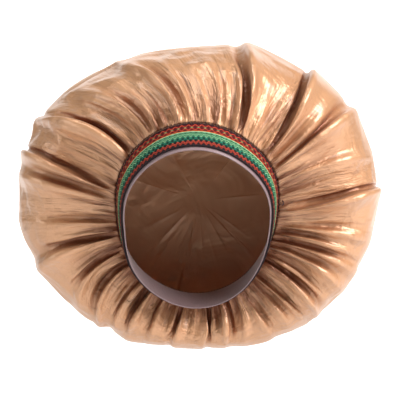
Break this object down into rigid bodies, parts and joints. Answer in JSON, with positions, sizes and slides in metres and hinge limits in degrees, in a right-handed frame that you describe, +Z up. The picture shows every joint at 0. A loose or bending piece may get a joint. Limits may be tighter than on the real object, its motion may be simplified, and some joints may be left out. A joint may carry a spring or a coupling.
{
  "type": "satin hair bonnet",
  "caption": "Puffed satin sleep bonnet in its worn form, gathered with deep folds onto a wide zigzag-patterned elastic band.",
  "frame": {"origin": "middle of the head opening, where the satin is sewn to the band", "axes": "+X to the right of someone who looks at the wearer's face, -Y the way the wearer faces, +Z up"},
  "size_m": [0.3751, 0.2565, 0.3167],
  "materials": {
    "satin": "shiny champagne satin",
    "elastic": "woven elastic with zigzag rows",
    "lining": "smooth mauve satin strip"
  },
  "bodies": {
    "root": {"crown": "satin", "band": "elastic", "band_lining": "lining"}
  },
  "joints": []
}
